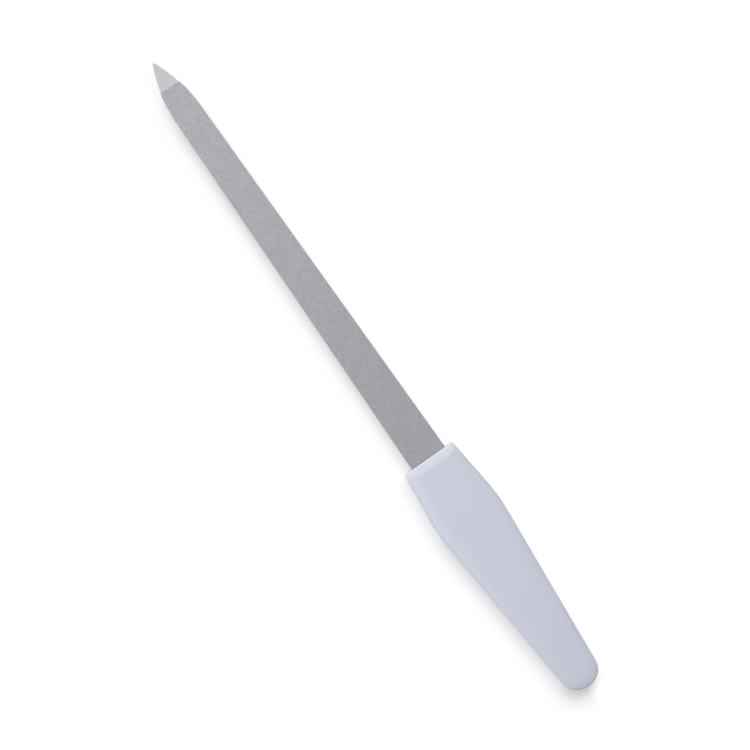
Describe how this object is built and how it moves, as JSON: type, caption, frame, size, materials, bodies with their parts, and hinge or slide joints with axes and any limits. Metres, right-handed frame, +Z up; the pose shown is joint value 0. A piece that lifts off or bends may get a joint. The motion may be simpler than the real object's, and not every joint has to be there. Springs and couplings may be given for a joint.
{
  "type": "nail file",
  "caption": "Pointed metal nail file with a grit coat on each face and a flat, tapering moulded plastic handle.",
  "frame": {"origin": "below the middle of the file's length and width, in the plane of the flat land under the handle", "axes": "+X along the file towards the blade's point, +Z up out of the face with the coarse grit, +Y across"},
  "size_m": [0.152, 0.0144, 0.0044],
  "materials": {
    "satin_steel": "satin plated steel",
    "coarse_grit": "coarse grey corundum grit",
    "fine_grit": "fine grey corundum grit",
    "pale_plastic": "pale blue-grey semi-gloss moulded plastic"
  },
  "bodies": {
    "root": {"blade": "satin_steel", "coarse_grit_coat": "coarse_grit", "fine_grit_coat": "fine_grit", "handle": "pale_plastic"}
  },
  "joints": []
}
